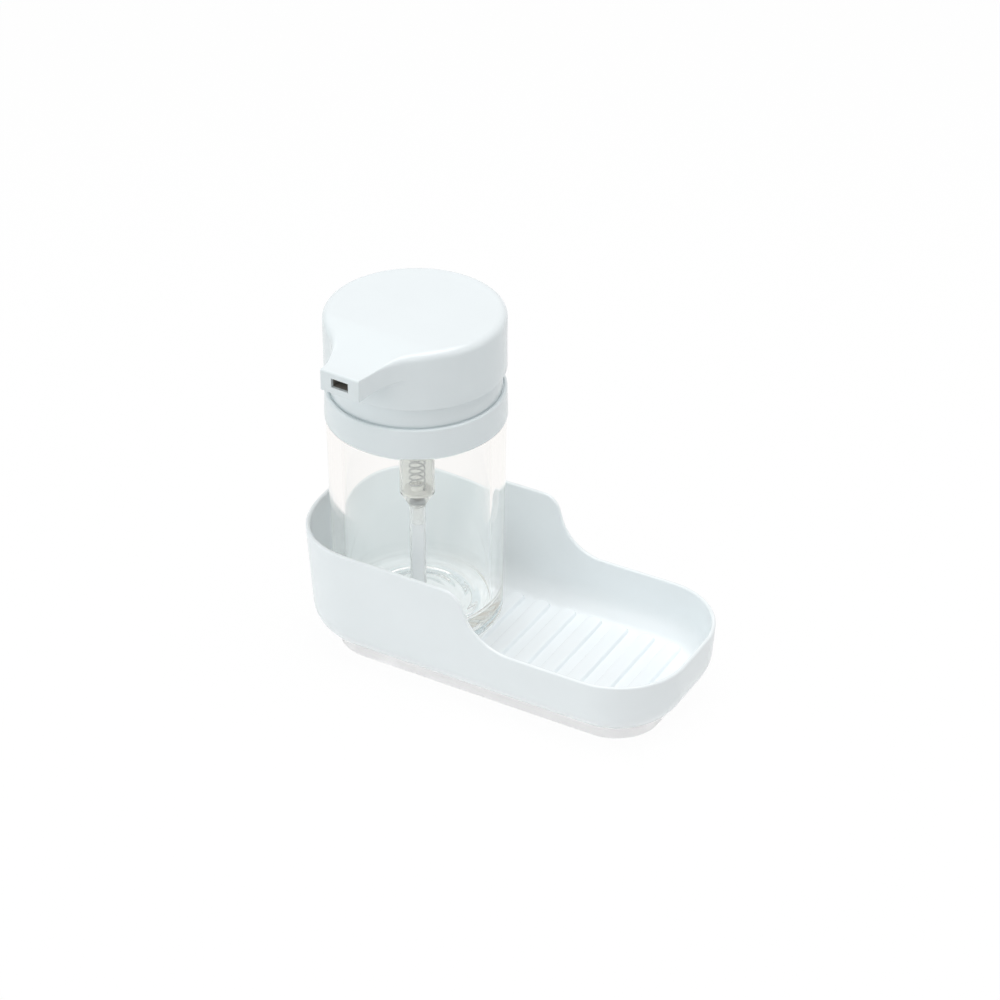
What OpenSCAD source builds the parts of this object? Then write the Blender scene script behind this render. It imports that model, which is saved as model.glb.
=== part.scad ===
// Soap pump and sponge caddy: a clear pump bottle stands in the deep end of an oval tray,
// and a sponge lies on the drain bars of its shallow end.
// The origin is on the bottle's axis at the surface that the tray stands on. +X runs to the sponge end.

/* [Tray] */
// Length from the bottle's axis to the rim at the bottle end
tray_back = 45.3; // [44:0.1:52]
// Length from the bottle's axis to the rim at the sponge end
tray_front = 136.5; // [130:0.5:150]
// Half the width of the tray across its high rim
tray_half_w = 43.9; // [43.5:0.1:48]
// How far behind the bottle's axis the rounded bottle end begins
end_start = 7.4; // [5:0.1:10]
// Fullness of the rounded bottle end, where 2 is an ellipse
end_power = 2.4; // [2:0.1:3]
// Plan radius of the corners at the sponge end
corner_r = 33.5; // [28:0.5:38]
// Height of the rim round the bottle
rim_high_z = 59.1; // [57:0.1:66]
// Height of the rim round the sponge
rim_low_z = 34.4; // [31:0.1:36]
// Where the high rim begins to fall, from the bottle's axis
fall_start = 38.2; // [36:0.1:42]
// Radius of the curve at the top of the falling rim
fall_top_r = 9; // [6:0.5:11]
// Radius of the curve at the foot of the falling rim
fall_foot_r = 22; // [16:0.5:25]
// Steepest slope of the falling rim, in degrees
fall_slope = 72; // [60:1:78]
// Thickness of the wall
tray_wall = 1.8; // [1.5:0.1:2.2]
// Inward lean of the wall for each unit of depth
draft_share = 0.055; // [0.03:0.005:0.07]
// Radius of the curve from the wall to the underside
bottom_r = 15.7; // [13:0.1:17]
// Height of the recess under the floor
floor_recess = 2.3; // [1.5:0.1:3]
// Thickness of the floor
floor_t = 2; // [1.6:0.1:2.6]
// Radius where the floor meets the wall
floor_fillet = 1.5; // [1:0.1:2]
// Width of the flat land that the foot ring is fixed to
land_w = 3.4; // [2.5:0.1:4.5]

/* [Drain bars] */
// Number of raised bars under the sponge
bar_count = 7; // [5:1:7]
// Spacing of the bars
bar_pitch = 12.94; // [12:0.02:13]
// Width of a bar
bar_w = 7.4; // [5:0.1:8.5]
// Height of a bar above the floor
bar_h = 1.5; // [1:0.1:2.5]
// Half the length of a bar
bar_half = 33; // [26:0.5:33]
// Distance of the first bar's middle from the bottle's axis
bar_first = 32.3; // [31.6:0.1:34]
// Rounding along a bar's upper edge
bar_edge_r = 0.6; // [0.3:0.1:0.9]
// Height above the floor of the ring that the bottle stands on
seat_h = 1.6; // [1.6:0.1:2.6]
// Width of that ring
seat_w = 3.6; // [2.5:0.1:4]

/* [Foot ring] */
// Height of the foot ring
foot_h = 5.1; // [3:0.1:8]
// How far the foot ring stands in from the rim's outline
foot_inset = 12.8; // [11.5:0.1:14]
// Width of the foot ring's tread
foot_w = 8.8; // [7:0.1:9.4]

/* [Bottle] */
// Outer radius at the shoulder
bottle_top_r = 38.3; // [37.8:0.1:38.6]
// Outer radius just above the heel
bottle_base_r = 37; // [35:0.1:37.4]
// Height of the bottle from its base to the shoulder
bottle_h = 99.9; // [85:0.1:115]
// Radius of the heel
heel_r = 5; // [3:0.1:6]
// Radius of the inside
cavity_r = 31.2; // [30:0.1:31.2]
// Thickness of the bottom
bottle_bottom = 9.4; // [6:0.1:12]
// Radius between the inside wall and the bottom
cavity_fillet = 4; // [3:0.5:6]
// Number of rings moulded in the bottom
ripple_count = 4; // [2:1:5]
// Spacing of those rings
ripple_pitch = 4; // [3:0.1:5]
// Height of those rings
ripple_h = 0.9; // [0.4:0.1:1.2]
// Radius of the hollow under the base
base_hollow_r = 24; // [20:0.5:24]
// Depth of the hollow under the base
base_hollow_h = 1.2; // [0.6:0.1:2]
// Outer radius of the neck, without its thread
neck_r = 34.4; // [34:0.1:34.6]
// Height of the neck above the shoulder
neck_h = 9.5; // [9:0.1:11]

/* [Thread] */
// Rise of the collar in one full turn
thread_lead = 12; // [9:0.5:12]
// Number of thread starts, with one lug each
thread_starts = 4; // [3:1:4]
// How far a lug stands out
lug_depth = 1.3; // [1:0.05:1.4]
// Height of a lug at its root
lug_root_h = 1.8; // [1.4:0.1:1.8]
// Height of a lug at its crest
lug_crest_h = 1; // [0.6:0.1:1.1]
// Length of a bottle lug round the neck, in degrees
neck_lug_angle = 56; // [40:1:58]
// Length of a collar lug, in degrees
collar_lug_angle = 26; // [20:1:30]
// Where the tightened collar's lugs lie along the bottle's lugs, in degrees
lug_offset = -12; // [-14:1:0]
// Gap between the two threads
thread_gap = 0.25; // [0.2:0.05:0.3]

/* [Collar] */
// Outer radius of the collar at its lower edge
collar_r = 38.7; // [38.4:0.1:40]
// How much narrower the collar is at its top
collar_taper = 0.3; // [0:0.1:0.5]
// Rounding of the collar's top edge
collar_edge_r = 0.8; // [0.4:0.1:1]
// Thickness of the collar's deck
deck_t = 1.5; // [1.2:0.1:2]
// Radius of the hole in the deck
deck_hole_r = 21; // [20:0.1:24]
// Gap between the collar and the bottle's shoulder
shoulder_gap = 0.2; // [0.1:0.05:0.3]

/* [Guide drum] */
// Gap between the drum and the head's skirt, which slides over it
skirt_gap = 0.3; // [0.2:0.05:0.5]
// Wall of the drum
drum_wall = 1.4; // [1.2:0.1:1.8]
// Height of the drum above the deck
drum_h = 12; // [10:0.1:12]
// Thickness of the drum's foot plate
drum_foot_t = 1.5; // [1.2:0.1:2]

/* [Pump] */
// Thickness of the closure disc
disc_t = 1.6; // [1.4:0.1:2]
// Thickness of the gasket on the bottle's mouth
gasket_t = 1; // [0.8:0.1:1.4]
// Depth of the plug that centres the disc in the mouth
plug_h = 4; // [3:0.1:6]
// Outer radius of the pump cylinder
cylinder_r = 7.5; // [7.4:0.1:8]
// Bore radius of the pump cylinder
cylinder_bore_r = 6.3; // [6:0.1:6.4]
// Depth of the bore below its flange
cylinder_depth = 50.1; // [49:0.1:56]
// Radius of the cylinder's flange
flange_r = 10.4; // [9.5:0.1:11]
// Thickness of the cylinder's flange
flange_t = 1.4; // [1:0.1:1.8]
// Thickness of the gasket under the flange
flange_gasket_t = 0.6; // [0.4:0.1:1]
// Wall of the cap that holds the cylinder
cap_wall = 1.6; // [1.2:0.1:2]
// Height of the cap's tower above its top plate
cap_tower_h = 2.4; // [2:0.1:2.4]
// Radius of the stem
stem_r = 3.5; // [3.4:0.05:3.5]
// Bore radius of the stem
stem_bore_r = 1.9; // [1.4:0.1:2.1]
// Length of the piston cup
cup_h = 7.5; // [6:0.1:8]
// Thickness of the cup's lips
cup_lip = 0.95; // [0.7:0.05:1]
// Height of the cup's hub, which the stem's ring holds down
cup_hub_h = 4.7; // [4:0.1:5]
// Thickness of the ring on the stem above the cup
stem_ring_t = 1.4; // [1:0.1:1.8]
// Radius of that ring and of the outlet seat's flange
stem_ring_r = 4.7; // [4.4:0.1:4.8]
// Height of the outlet seat's flange
seat_flange_t = 1.5; // [1:0.1:2]
// Outer radius of the dip tube
dip_r = 3.5; // [3:0.1:3.6]
// Wall of the dip tube
dip_wall = 0.8; // [0.6:0.1:1]
// Gap between the dip tube and the bottle's bottom
dip_gap = 2.5; // [1.5:0.1:5]
// Length of the spigot that the dip tube is pushed over
dip_spigot = 9; // [6:0.5:14]
// Travel of the pump from rest to its stop
travel = 8.5; // [6:0.1:8.5]

/* [Valves and spring] */
// Radius of the inlet ball
inlet_ball_r = 3.2; // [2.8:0.1:3.2]
// Radius of the inlet ball's chamber
chamber_r = 3.6; // [3.5:0.1:4]
// Radius of the hole under the inlet ball
inlet_hole_r = 1.7; // [1.4:0.1:1.9]
// Radius of the outlet ball
outlet_ball_r = 2.3; // [2:0.1:2.3]
// Radius of the outlet ball's chamber in the stem
outlet_chamber_r = 2.7; // [2.6:0.05:2.8]
// Radius of the hole under the outlet ball
outlet_hole_r = 1.5; // [1.2:0.1:1.5]
// Thickness of the cage above the inlet ball
cage_t = 1.2; // [1:0.1:1.6]
// Mean radius of the spring
spring_r = 3.3; // [3.1:0.1:3.8]
// Thickness of the spring's wire
wire_d = 0.8; // [0.5:0.1:0.9]
// Number of curls of the spring
spring_curls = 7; // [5:0.5:8]

/* [Head] */
// Radius of the head
head_r = 38.3; // [37.8:0.1:39]
// Height of the head from its lower edge to its top
head_h = 26.8; // [26.8:0.1:28]
// Gap between the pressed head and the collar
press_gap = 0.4; // [0.3:0.1:1]
// Rounding of the head's top edge
head_edge_r = 3.5; // [2.5:0.1:5]
// Wall of the head
head_wall = 1.6; // [1.5:0.1:1.7]
// Thickness of the head's top
head_top_t = 2.6; // [2:0.1:3]
// Reach of the spout from the axis
spout_reach = 53; // [48:0.5:60]
// Width of the spout's end face
spout_w = 18.9; // [15:0.1:22]
// Radius of the hollow curve from the disc to the spout
spout_blend_r = 25.5; // [15:0.5:26]
// How far the spout's upper face drops below the head's top
spout_drop = 6.2; // [5:0.1:7]
// Height of the spout's end face
spout_face_h = 9.8; // [8.6:0.1:10]
// How far the spout's lower edge climbs towards the disc
spout_under_rise = 4; // [2:0.1:5]
// Rounding of the spout's upper edge at its tip
spout_edge_r = 0.9; // [0.5:0.1:1.2]
// Bevel of the head's lower edge
head_bevel = 0.4; // [0.2:0.1:0.8]
// Turn of the spout from straight across the tray, in degrees
head_turn = -3.9; // [-60:0.1:60]
// Width of the soap outlet
outlet_w = 8.4; // [6:0.1:9]
// Height of the soap outlet
outlet_h = 4.2; // [3.5:0.1:4.4]
// Wall of the spout's duct
duct_wall = 0.8; // [0.6:0.1:0.9]
// Thickness of the spout's end wall in front of the duct
tip_wall = 1.5; // [1:0.1:2]
// Outer radius of the head's socket for the stem
socket_r = 6.2; // [5.9:0.1:7]
// Gap between the pressed socket and the pump's cap
socket_gap = 0.5; // [0.4:0.1:1]
// Distance of the plate under the head's top from the inside of the skirt
core_inset = 12; // [9:0.1:13]
// Thickness of that plate and its webs
core_t = 1.4; // [1.2:0.1:1.8]
// Thickness of the ring seals
seal_d = 1.8; // [1.5:0.1:1.9]

/* [Fits] */
// Radial clearance of a sliding or turning fit
running_gap = 0.05; // [0.03:0.01:0.08]
// Clearance between loosely fitted parts
loose_gap = 0.2; // [0.1:0.05:0.2]

/* [Hidden] */

// Colours
white_plastic = [0.91, 0.935, 0.95];
foot_white = [0.95, 0.96, 0.965];
clear_plastic = [0.93, 0.92, 0.89, 0.35];
milky_plastic = [0.93, 0.92, 0.88, 0.7];
seal_grey = [0.75, 0.76, 0.77];
steel = [0.62, 0.63, 0.65];

// Smoothness of round parts, and how far a cut runs past a face
smooth = 96;
cut = 1;
// Shares of a turn and of a curve, for outlines that are drawn as points
wall_steps = 6;
corner_steps = 12;
end_steps = 36;
fall_steps = 7;

// Heights, worked up from the surface that the tray stands on
floor_z = foot_h + floor_recess + floor_t;
bottle_z = floor_z + seat_h;
shoulder_z = bottle_z + bottle_h;
mouth_z = shoulder_z + neck_h;
disc_z = mouth_z + gasket_t;
disc_top_z = disc_z + disc_t;
deck_top_z = disc_top_z + deck_t;
flange_z = disc_top_z + flange_gasket_t;
flange_top_z = flange_z + flange_t;
cap_top_z = flange_top_z + cap_wall;
tower_top_z = cap_top_z + cap_tower_h;
bore_floor_z = flange_z - cylinder_depth;
head_z = deck_top_z + press_gap + travel;
head_top_z = head_z + head_h;
head_inner_r = head_r - head_wall;
cavity_floor_z = bottle_z + bottle_bottom;
wiper_z = mix(flange_top_z, tower_top_z, 0.5);
// The inlet ball on its cone, free to rise as far as the cage
inlet_lift = 1;
chamber_z = bore_floor_z + chamber_r - inlet_ball_r * (1 + sqrt(2)) - inlet_lift;
cone_z = chamber_z - chamber_r + inlet_hole_r;
inlet_ball_z = bore_floor_z - inlet_ball_r - inlet_lift;
// The spring stands on the cage and is more than twice as long as the travel
spring_z = bore_floor_z + cage_t;
stem_foot_z = spring_z + 2.7 * travel;
cup_z = stem_foot_z + seat_flange_t;
stem_ring_z = cup_z + cup_hub_h + running_gap;
stem_ring_top_z = stem_ring_z + stem_ring_t;
// The outlet ball on its cone in the stem's foot
outlet_lift = 1.4;
outlet_seat_top_z = cup_z + seat_flange_t;
outlet_cone_r = outlet_chamber_r - 2 * running_gap - loose_gap;
outlet_ball_z = outlet_seat_top_z - outlet_cone_r + outlet_ball_r * sqrt(2);
// The soap's way out of the head
outlet_z = head_top_z - spout_drop - spout_face_h / 2;

// Points along an arc about c, for a profile of [radius, height]
function arc(c, r, a0, a1, n) = [for (i = [0 : n]) let (a = a0 + (a1 - a0) * i / n) c + r * [cos(a), sin(a)]];
function mix(a, b, t) = a + (b - a) * t;
function smoothstep(t) = let (u = min(1, max(0, t))) u * u * (3 - 2 * u);
function flat_list(lists) = [for (l = lists) each l];

// A closed solid through rings of equally many points, from its underside to its upper cap
function middle(ring) = [for (k = [0 : 2]) let (v = [for (p = ring) p[k]]) (min(v) + max(v)) / 2];
module skin(rings) {
    n = len(rings[0]);
    last = (len(rings) - 1) * n;
    low = len(rings) * n;
    sides = [for (j = [0 : len(rings) - 2]) for (i = [0 : n - 1])
        let (a = j * n + i, b = j * n + (i + 1) % n) each [[a, a + n, b + n], [a, b + n, b]]];
    caps = [for (i = [0 : n - 1]) let (k = (i + 1) % n)
        each [[i, k, low], [last + k, last + i, low + 1]]];
    polyhedron(points = concat(flat_list(rings), [middle(rings[0]), middle(rings[len(rings) - 1])]),
        faces = concat(sides, caps), convexity = 8);
}

// Outline of the tray. A column is [centre x, centre y, half length, half width, direction x, direction y],
// and its point at an inset is the centre plus the direction times the shrunk halves.
end_half = tray_back - end_start;
corner_x = tray_front - corner_r;
corner_y = tray_half_w - corner_r;
fall_top_end = [fall_start + fall_top_r * sin(fall_slope), rim_high_z - fall_top_r * (1 - cos(fall_slope))];
fall_foot_lift = fall_foot_r * (1 - cos(fall_slope));
fall_foot_x = fall_top_end.x + (fall_top_end.y - rim_low_z - fall_foot_lift) / tan(fall_slope);
fall_end = fall_foot_x + fall_foot_r * sin(fall_slope);
fall_points = concat(
    [for (i = [0 : fall_steps]) let (a = fall_slope * i / fall_steps)
        [fall_start + fall_top_r * sin(a), rim_high_z - fall_top_r * (1 - cos(a))]],
    [for (i = [fall_steps : -1 : 0]) let (a = fall_slope * i / fall_steps)
        [fall_end - fall_foot_r * sin(a), rim_low_z + fall_foot_r * (1 - cos(a))]]);
fall_count = len(fall_points);

function end_share(v) = sign(v) * pow(abs(v), 2 / end_power);
columns = concat(
    [for (p = fall_points) [p.x, 0, 0, tray_half_w, 0, -1]],
    [for (i = [0 : corner_steps]) let (a = 90 * i / corner_steps - 90)
        [corner_x, -corner_y, corner_r, corner_r, cos(a), sin(a)]],
    [for (i = [0 : corner_steps]) let (a = 90 * i / corner_steps)
        [corner_x, corner_y, corner_r, corner_r, cos(a), sin(a)]],
    [for (i = [fall_count - 1 : -1 : 0]) [fall_points[i].x, 0, 0, tray_half_w, 0, 1]],
    [for (i = [0 : end_steps]) let (a = 90 + 180 * i / end_steps)
        [-end_start, 0, end_half, tray_half_w, end_share(cos(a)), end_share(sin(a))]]);
rim_heights = concat(
    [for (p = fall_points) p.y],
    [for (i = [0 : 2 * corner_steps + 1]) rim_low_z],
    [for (i = [fall_count - 1 : -1 : 0]) fall_points[i].y],
    [for (i = [0 : end_steps]) rim_high_z]);

function plan_point(c, inset) = [c[0] + (c[2] - (c[2] > 0 ? inset : 0)) * c[4], c[1] + (c[3] - inset) * c[5]];
function plan(inset) = [for (c = columns) plan_point(c, inset)];
function level_ring(inset, z) = [for (p = plan(inset)) [p.x, p.y, z]];
function lean(z) = (rim_high_z - z) * draft_share;
// A ring that follows the rim, at a depth under it and an inset from the wall's outer face
function rim_ring(inset, depth) = [for (i = [0 : len(columns) - 1])
    let (z = rim_heights[i] - depth, p = plan_point(columns[i], lean(z) + inset)) [p.x, p.y, z]];

// Outer and inner curve of the bottom: angle 0 is flat and angle 90 is upright
function outer_z(a) = foot_h + bottom_r * (1 - cos(a));
function outer_inset(a) = lean(outer_z(a)) + bottom_r * (1 - sin(a));
inner_r = bottom_r - tray_wall;
function inner_z(a) = foot_h + bottom_r - inner_r * cos(a);
function inner_inset(a) = lean(inner_z(a)) + bottom_r - inner_r * sin(a);
floor_angle = acos((foot_h + bottom_r - floor_z - floor_fillet) / inner_r);
floor_inset = inner_inset(floor_angle) + floor_fillet;
fillet_share = 0.3;
rim_r = tray_wall / 2;

module tray_shell() {
    land_inset = outer_inset(0) + land_w;
    color(white_plastic) union() {
        skin(concat(
            [level_ring(land_inset + floor_recess / 2, foot_h + floor_recess), level_ring(land_inset, foot_h)],
            [for (i = [0 : wall_steps]) let (a = 90 * i / wall_steps) level_ring(outer_inset(a), outer_z(a))],
            [for (i = [0 : 4]) let (a = 45 * i) rim_ring(rim_r * (1 - cos(a)), rim_r * (1 - sin(a)))],
            [for (i = [0 : wall_steps - 1]) let (a = mix(90, floor_angle, i / (wall_steps - 1)))
                level_ring(inner_inset(a), inner_z(a))],
            [level_ring(inner_inset(floor_angle) + fillet_share * floor_fillet,
                floor_z + fillet_share * floor_fillet)],
            [level_ring(floor_inset, floor_z)]));
        for (i = [0 : bar_count - 1]) drain_bar(bar_first + i * bar_pitch);
        bottle_seat();
    }
}

// Half length of the bar at x: the bars at the sponge end stay clear of the rounded corners
bar_turn_r = corner_r - floor_inset - bar_w / 2 - loose_gap;
function bar_reach(x) = x < corner_x ? bar_half :
    min(bar_half, corner_y + sqrt(max(0, bar_turn_r * bar_turn_r - pow(x - corner_x, 2))) + bar_w / 2);

// One bar: an upper edge rounded all round, straight sides and half round ends
module drain_bar(x) {
    r = bar_w / 2;
    straight = bar_reach(x) - r;
    profile = concat([[0, -floor_t / 2]], [[r, -floor_t / 2]],
        arc([r - bar_edge_r, bar_h - bar_edge_r], bar_edge_r, 0, 90, 4), [[0, bar_h]]);
    translate([x, 0, floor_z]) {
        rotate([90, 0, 0]) linear_extrude(2 * straight, center = true)
            polygon(concat(profile, [for (i = [len(profile) - 2 : -1 : 1]) [-profile[i].x, profile[i].y]]));
        translate([0, straight, 0]) rotate_extrude(angle = 180, $fn = smooth) polygon(profile);
        mirror([0, 1, 0]) translate([0, straight, 0]) rotate_extrude(angle = 180, $fn = smooth)
            polygon(profile);
    }
}

// The low ring on the floor that the bottle stands on
module bottle_seat() {
    inner = base_hollow_r + loose_gap;
    translate([0, 0, floor_z - floor_t / 2]) difference() {
        cylinder(h = seat_h + floor_t / 2, r = inner + seat_w, $fn = smooth);
        translate([0, 0, -cut]) cylinder(h = seat_h + floor_t / 2 + 2 * cut, r = inner, $fn = smooth);
    }
}

module base_foot() {
    color(foot_white) linear_extrude(foot_h) difference() {
        polygon(plan(foot_inset));
        polygon(plan(foot_inset + foot_w));
    }
}

// Rings moulded in the bottom of the bottle, as a wave from the middle outwards
ripple_start = cavity_r - cavity_fillet - ripple_count * ripple_pitch;
ripple_wave = [for (i = [0 : 8 * ripple_count])
    [ripple_start + ripple_pitch * i / 8, cavity_floor_z + ripple_h * (1 - cos(45 * i)) / 2]];

module bottle() {
    color(clear_plastic) union() {
        rotate_extrude($fn = smooth) polygon(concat(
            [[0, bottle_z + base_hollow_h], [base_hollow_r - base_hollow_h, bottle_z + base_hollow_h]],
            [[base_hollow_r, bottle_z]],
            arc([bottle_base_r - heel_r, bottle_z + heel_r], heel_r, -90, 0, 6),
            [[bottle_top_r, shoulder_z], [neck_r, shoulder_z], [neck_r, mouth_z], [cavity_r, mouth_z]],
            arc([cavity_r - cavity_fillet, cavity_floor_z + cavity_fillet], cavity_fillet, 0, -90, 6),
            [for (i = [len(ripple_wave) - 2 : -1 : 0]) ripple_wave[i]],
            [[0, cavity_floor_z]]));
        for (k = [0 : thread_starts - 1]) rotate([0, 0, k * 360 / thread_starts])
            thread_lug(neck_r, lug_depth, neck_lug_angle, neck_lug_z);
    }
}

// A short piece of thread: a ring segment tilted by the lead angle about its own middle
neck_lug_z = mix(shoulder_z, mouth_z, 0.6);
thread_root_gap = loose_gap + 2 * running_gap;
collar_root_r = neck_r + lug_depth + thread_root_gap;
lead_angle = atan(thread_lead / (2 * PI * neck_r));
lug_overlap_h = lug_root_h / 2 + lug_crest_h / 2
    - (lug_root_h - lug_crest_h) / 2 * thread_root_gap / lug_depth;
collar_lug_z = neck_lug_z - lug_overlap_h - thread_gap + thread_lead * lug_offset / 360;

module thread_lug(root, depth, angle, z) {
    sunk = sign(depth) * loose_gap;
    translate([0, 0, z]) rotate([lead_angle, 0, 0]) rotate([0, 0, -angle / 2])
        rotate_extrude(angle = angle, $fn = smooth) polygon([
            [root - sunk, -lug_root_h / 2], [root + depth, -lug_crest_h / 2],
            [root + depth, lug_crest_h / 2], [root - sunk, lug_root_h / 2]]);
}

module collar_ring() {
    low_z = shoulder_z + shoulder_gap;
    top_r = collar_r - collar_taper;
    color(white_plastic) union() {
        rotate_extrude($fn = smooth) polygon(concat(
            [[collar_root_r, low_z], [collar_r, low_z]],
            arc([top_r - collar_edge_r, deck_top_z - collar_edge_r], collar_edge_r, 0, 90, 5),
            [[deck_hole_r, deck_top_z], [deck_hole_r, disc_top_z], [collar_root_r, disc_top_z]]));
        for (k = [0 : thread_starts - 1]) rotate([0, 0, k * 360 / thread_starts + lug_offset])
            thread_lug(collar_root_r, -lug_depth, collar_lug_angle, collar_lug_z);
    }
}

// The drum that stands on the collar and guides the head's skirt
module guide_drum() {
    drum_r = head_inner_r - skirt_gap;
    spigot_r = deck_hole_r - running_gap;
    color(white_plastic) rotate_extrude($fn = smooth) polygon([
        [spigot_r - drum_wall, disc_top_z], [spigot_r, disc_top_z], [spigot_r, deck_top_z],
        [drum_r, deck_top_z], [drum_r, deck_top_z + drum_h - running_gap],
        [drum_r - drum_wall, deck_top_z + drum_h - running_gap],
        [drum_r - drum_wall, deck_top_z + drum_foot_t],
        [spigot_r - drum_wall, deck_top_z + drum_foot_t]]);
}

module mouth_gasket() {
    color(seal_grey) ring(cavity_r, neck_r - loose_gap, mouth_z, gasket_t);
}

module ring(inner, outer, z, h) {
    rotate_extrude($fn = smooth) polygon([[inner, z], [outer, z], [outer, z + h], [inner, z + h]]);
}

// The disc that closes the mouth: a plug centres it, and an upstand holds the pump's cap
upstand_r = flange_r + loose_gap + cap_wall;
module mouth_disc() {
    disc_r = neck_r - loose_gap;
    plug_r = cavity_r - loose_gap;
    color(white_plastic) rotate_extrude($fn = smooth) polygon([
        [cylinder_r + running_gap, disc_z], [plug_r - disc_t, disc_z],
        [plug_r - disc_t, disc_z - plug_h], [plug_r, disc_z - plug_h], [plug_r, disc_z], [disc_r, disc_z],
        [disc_r, disc_top_z], [upstand_r + running_gap + cap_wall, disc_top_z],
        [upstand_r + running_gap + cap_wall, flange_top_z], [upstand_r + running_gap, flange_top_z],
        [upstand_r + running_gap, disc_top_z], [cylinder_r + running_gap, disc_top_z]]);
}

module cylinder_gasket() {
    color(seal_grey) ring(cylinder_r + running_gap, flange_r, disc_top_z, flange_gasket_t);
}

// The pump cylinder: its bore, the inlet ball's chamber and cone, and the spigot for the dip tube
module pump_cylinder() {
    spigot_r = dip_r - dip_wall - running_gap;
    color(milky_plastic) rotate_extrude($fn = smooth) polygon([
        [inlet_hole_r, cone_z - dip_spigot], [spigot_r, cone_z - dip_spigot], [spigot_r, cone_z],
        [dip_r, cone_z], [cylinder_r, bore_floor_z], [cylinder_r, flange_z], [flange_r, flange_z],
        [flange_r, flange_top_z], [cylinder_bore_r, flange_top_z], [cylinder_bore_r, bore_floor_z],
        [chamber_r, bore_floor_z], [chamber_r, chamber_z], [inlet_hole_r, cone_z]]);
}

// The cap that clamps the cylinder's flange, with the long sleeve that guides the stem and stops it
module cylinder_cap() {
    sleeve_r = cylinder_bore_r - cup_lip - 2 * loose_gap;
    sleeve_low_z = stem_ring_top_z + loose_gap;
    tower_r = stem_r + seal_d + cap_wall;
    difference() {
        color(white_plastic) rotate_extrude($fn = smooth) polygon([
            [stem_r + running_gap, sleeve_low_z], [sleeve_r, sleeve_low_z], [sleeve_r, flange_top_z],
            [flange_r + loose_gap, flange_top_z], [flange_r + loose_gap, disc_top_z], [upstand_r, disc_top_z],
            [upstand_r, cap_top_z], [tower_r, cap_top_z], [tower_r, tower_top_z],
            [stem_r + running_gap, tower_top_z]]);
        seal_groove(wiper_z);
    }
}

// Square groove for a ring seal round the stem
module seal_groove(z) {
    translate([0, 0, z - seal_d / 2])
        cylinder(h = seal_d, r = stem_r + running_gap + seal_d, $fn = smooth);
}

module ring_seal(z) {
    color(seal_grey) rotate_extrude($fn = smooth)
        translate([stem_r + running_gap + seal_d / 2, z]) circle(d = seal_d, $fn = smooth / 2);
}

module stem_wiper() {
    ring_seal(wiper_z);
}

// The cage over the inlet ball, with a nib inside the spring's foot and holes round the middle
module valve_cage() {
    cage_r = cylinder_bore_r - running_gap;
    nib_r = spring_r - wire_d / 2 - loose_gap;
    color(milky_plastic) difference() {
        union() {
            translate([0, 0, bore_floor_z]) cylinder(h = cage_t, r = cage_r, $fn = smooth);
            translate([0, 0, bore_floor_z]) cylinder(h = 3 * cage_t, r = nib_r, $fn = smooth);
        }
        for (i = [0 : 5]) rotate([0, 0, 60 * i]) translate([nib_r / 2, 0, bore_floor_z - cut])
            cylinder(h = 3 * cage_t + 2 * cut, r = nib_r / 5, $fn = smooth / 4);
    }
}

module inlet_ball() {
    color(steel) translate([0, 0, inlet_ball_z]) sphere(r = inlet_ball_r, $fn = smooth);
}

module dip_tube() {
    low_z = cavity_floor_z + dip_gap;
    color(milky_plastic) ring(dip_r - dip_wall, dip_r, low_z, cone_z - low_z);
}

// Spring: an unbroken helix between two short upright ends, whose least gap to itself is printed
curl_rings = 8;
wire_sides = 6;
spring_rings = round(spring_curls * curl_rings);
spring_low = spring_z + wire_d;
spring_high = stem_foot_z - wire_d;
spring_pitch = (spring_high - spring_low) / spring_curls;
spring_slope = atan(spring_pitch / (2 * PI * spring_r));
function spring_height(i) = spring_low + spring_pitch * i / curl_rings;
function spring_point(i) = let (a = 360 * i / curl_rings)
    [spring_r * cos(a), spring_r * sin(a), spring_height(i)];
function wire_ring(i, z, slope) = let (a = 360 * i / curl_rings, radial = [cos(a), sin(a), 0],
        up = [sin(slope) * sin(a), -sin(slope) * cos(a), cos(slope)])
    [for (k = [0 : wire_sides - 1]) let (b = 360 * k / wire_sides)
        spring_r * radial + [0, 0, z] + wire_d / 2 * (cos(b) * radial + sin(b) * up)];
spring_gap = min([for (i = [0 : spring_rings - curl_rings]) for (j = [-1 : 1])
    let (k = min(spring_rings, i + curl_rings + j)) norm(spring_point(k) - spring_point(i))]) - wire_d;

module return_spring() {
    echo(str("Least gap between the spring's curls: ", spring_gap));
    rings = concat(
        [wire_ring(0, spring_z, 90), wire_ring(0, spring_low, 90)],
        [for (i = [1 : spring_rings - 1]) wire_ring(i, spring_height(i), spring_slope)],
        [wire_ring(spring_rings, spring_high, 90), wire_ring(spring_rings, stem_foot_z, 90)]);
    last = (len(rings) - 1) * wire_sides;
    sides = [for (j = [0 : len(rings) - 2]) for (k = [0 : wire_sides - 1])
        let (a = j * wire_sides + k, b = j * wire_sides + (k + 1) % wire_sides)
        each [[a, b, b + wire_sides], [a, b + wire_sides, a + wire_sides]]];
    color(steel) polyhedron(points = flat_list(rings), faces = concat(sides,
        [[for (k = [wire_sides - 1 : -1 : 0]) k]], [[for (k = [0 : wire_sides - 1]) last + k]]));
}

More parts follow.
